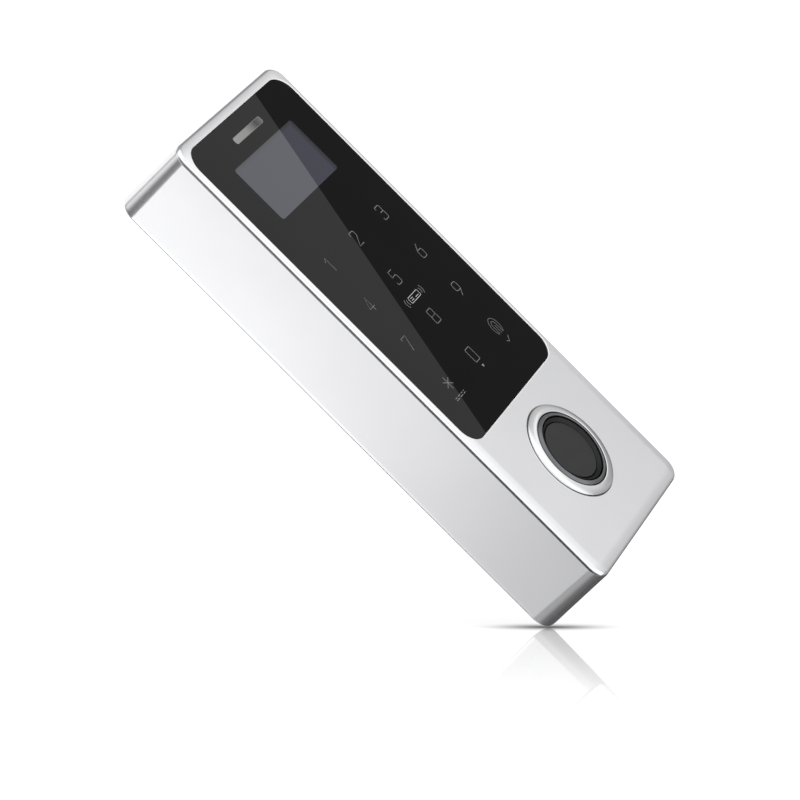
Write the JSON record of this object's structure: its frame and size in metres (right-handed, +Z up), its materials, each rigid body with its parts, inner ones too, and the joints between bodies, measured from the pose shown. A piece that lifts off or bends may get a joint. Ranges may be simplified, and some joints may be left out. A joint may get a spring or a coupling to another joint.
{
  "type": "fingerprint access terminal",
  "caption": "Slim wall-mounted access terminal: a satin metal housing with a black touch keypad panel, display and round fingerprint reader, on a hooked wall bracket.",
  "frame": {"origin": "centre of the wall face, the back of the bracket, at mid height and mid width of the housing", "axes": "+Z up towards the display end, -Y out of the wall through the front face, +X to the right seen from the front"},
  "size_m": [0.0774, 0.0307, 0.1866],
  "materials": {
    "satin_zinc": "satin sprayed die-casting, bright metallic silver",
    "panel_glass": "polished black-printed cover glass",
    "adhesive_foam": "closed-cell foam",
    "board_laminate": "green solder mask",
    "display_glass": "unlit display, grey-violet",
    "light_diffuser": "frosted light guide",
    "black_plastic": "fine spark texture",
    "seal_rubber": "matt",
    "brass": "turned",
    "sensor_ring_metal": "dark plated ring",
    "sensor_coating": "hard matt coating",
    "socket_plastic": "natural nylon",
    "flex_film": "polyimide film",
    "zinc_plated_steel": "bright zinc plate",
    "relay_plastic": "moulded",
    "header_plastic": "moulded",
    "plunger_plastic": "moulded"
  },
  "bodies": {
    "bracket": {"wall_bracket": "zinc_plated_steel"},
    "terminal": {"front_housing": "satin_zinc", "reader_bezel": "satin_zinc", "keypad_panel": "panel_glass", "panel_adhesive": "adhesive_foam", "touch_board": "board_laminate", "card_antenna": "board_laminate", "status_light_board": "board_laminate", "sensor_board": "board_laminate", "main_board": "board_laminate", "display_glass": "display_glass", "display_backlight": "light_diffuser", "status_light_pipe": "light_diffuser", "display_holder": "black_plastic", "sensor_case": "black_plastic", "buzzer": "black_plastic", "tamper_switch": "black_plastic", "rear_cover": "black_plastic", "reader_washer": "seal_rubber", "sensor_seal": "seal_rubber", "reader_nut": "brass", "board_standoff_1": "brass", "board_standoff_2": "brass", "board_standoff_3": "brass", "board_standoff_4": "brass", "sensor_ring": "sensor_ring_metal", "sensor_glass": "sensor_coating", "sensor_socket": "socket_plastic", "ribbon_socket": "socket_plastic", "reader_ribbon": "flex_film", "processor_shield": "zinc_plated_steel", "clock_battery": "zinc_plated_steel", "board_screw_1": "zinc_plated_steel", "board_screw_2": "zinc_plated_steel", "board_screw_3": "zinc_plated_steel", "board_screw_4": "zinc_plated_steel", "cover_screw_1": "zinc_plated_steel", "cover_screw_2": "zinc_plated_steel", "cover_screw_3": "zinc_plated_steel", "cover_screw_4": "zinc_plated_steel", "cover_screw_5": "zinc_plated_steel", "cover_screw_6": "zinc_plated_steel", "lock_relay": "relay_plastic", "wiring_header": "header_plastic", "network_header": "header_plastic"},
    "screw": {"security_screw": "zinc_plated_steel"},
    "plunger": {"tamper_plunger": "plunger_plastic"}
  },
  "joints": [
    {"name": "terminal_swing", "type": "hinge", "parent": "bracket", "child": "terminal", "pos_m": [0, 0, 0.0925], "axis": [-1, 0, 0], "range_deg": [0, 20]},
    {"name": "security_screw_back_out", "type": "slide", "parent": "bracket", "child": "screw", "axis": [0, 0, -1], "range_m": [0, 0.006]},
    {"name": "tamper_press", "type": "slide", "parent": "terminal", "child": "plunger", "axis": [0, -1, 0], "range_m": [0, 0.0012], "stiffness_N_per_m": 300}
  ]
}
